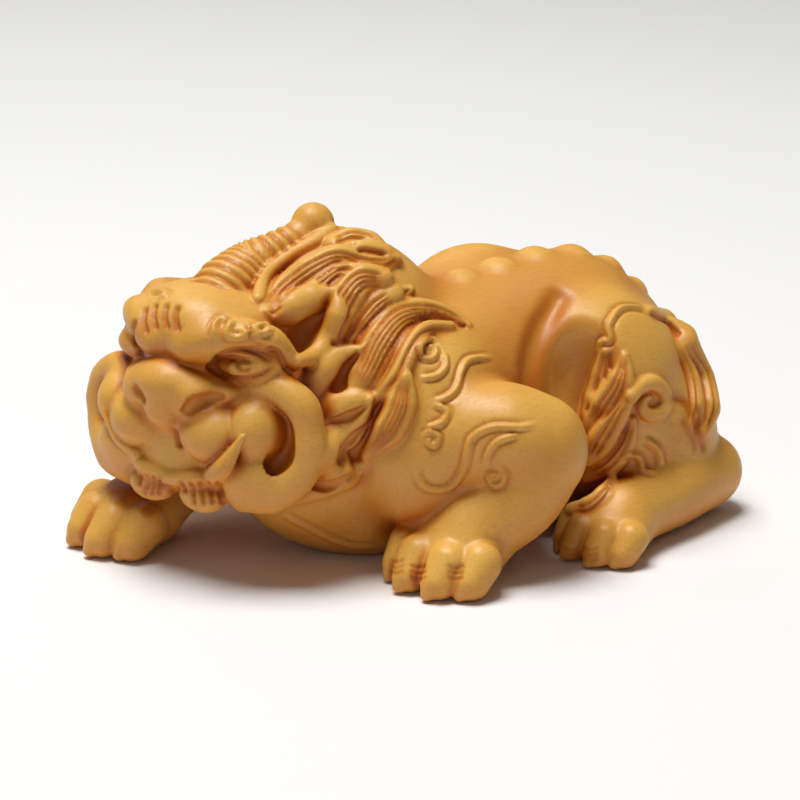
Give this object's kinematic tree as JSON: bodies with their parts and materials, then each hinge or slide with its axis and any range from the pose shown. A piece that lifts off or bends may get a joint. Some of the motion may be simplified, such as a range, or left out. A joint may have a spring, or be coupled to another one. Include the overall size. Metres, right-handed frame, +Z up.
{
  "type": "pixiu figure",
  "caption": "Crouching pixiu carved from one block of boxwood, with a turned low head, a ringed horn, a mane of locks, clawed paws and a tail laid over its haunch.",
  "frame": {"origin": "middle of the ground that the figure covers, on the ground", "axes": "+X towards the tail and -X the way the body faces, -Y the animal's left side, which the picture shows, +Z up"},
  "size_m": [0.0978, 0.0616, 0.0509],
  "materials": {
    "boxwood": "carved boxwood, sanded fine and rubbed with oil to a satin, honey yellow on the crests and orange brown in the cuts"
  },
  "bodies": {
    "root": {"pixiu": "boxwood"}
  },
  "joints": []
}
